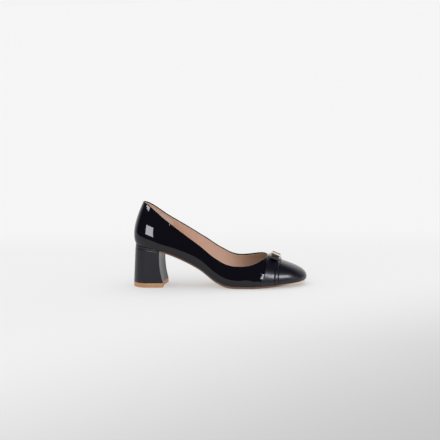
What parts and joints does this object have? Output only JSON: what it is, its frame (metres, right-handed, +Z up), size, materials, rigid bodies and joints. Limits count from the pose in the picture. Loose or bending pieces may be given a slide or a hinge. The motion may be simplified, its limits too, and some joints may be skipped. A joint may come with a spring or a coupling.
{
  "type": "block heel pump",
  "caption": "Women's low-cut pump with a covered block heel, a round capped toe, a raised vamp band with piping, and a ribbon bow under a plain keeper.",
  "frame": {"origin": "middle of the flat foot of the heel, on the floor", "axes": "+X from heel to toe, +Y towards the inner side of the foot, +Z up, floor at Z = 0"},
  "size_m": [0.2424, 0.0782, 0.1191],
  "materials": {
    "patent_leather": "mirror-smooth navy patent leather, nearly black, with a clear coat",
    "cap_leather": "smooth navy leather with a soft gloss",
    "band_leather": "smooth navy leather with a soft gloss",
    "heel_leather": "smooth navy leather, satin, wrapped over the block",
    "sole_leather": "natural tan leather, edge sealed",
    "lift_leather": "natural tan leather, matt",
    "lining_leather": "unfinished pinkish tan lining leather",
    "ribbon": "black ribbed ribbon, matt",
    "keeper_metal": "pale gold, polished"
  },
  "bodies": {
    "root": {"upper": "patent_leather", "toe_cap": "cap_leather", "vamp_band": "band_leather", "band_piping": "band_leather", "outsole": "sole_leather", "insole": "lining_leather", "heel": "heel_leather", "top_lift": "lift_leather", "bow_lower_loops": "ribbon", "bow_upper_loops": "ribbon", "bow_keeper": "keeper_metal"}
  },
  "joints": []
}
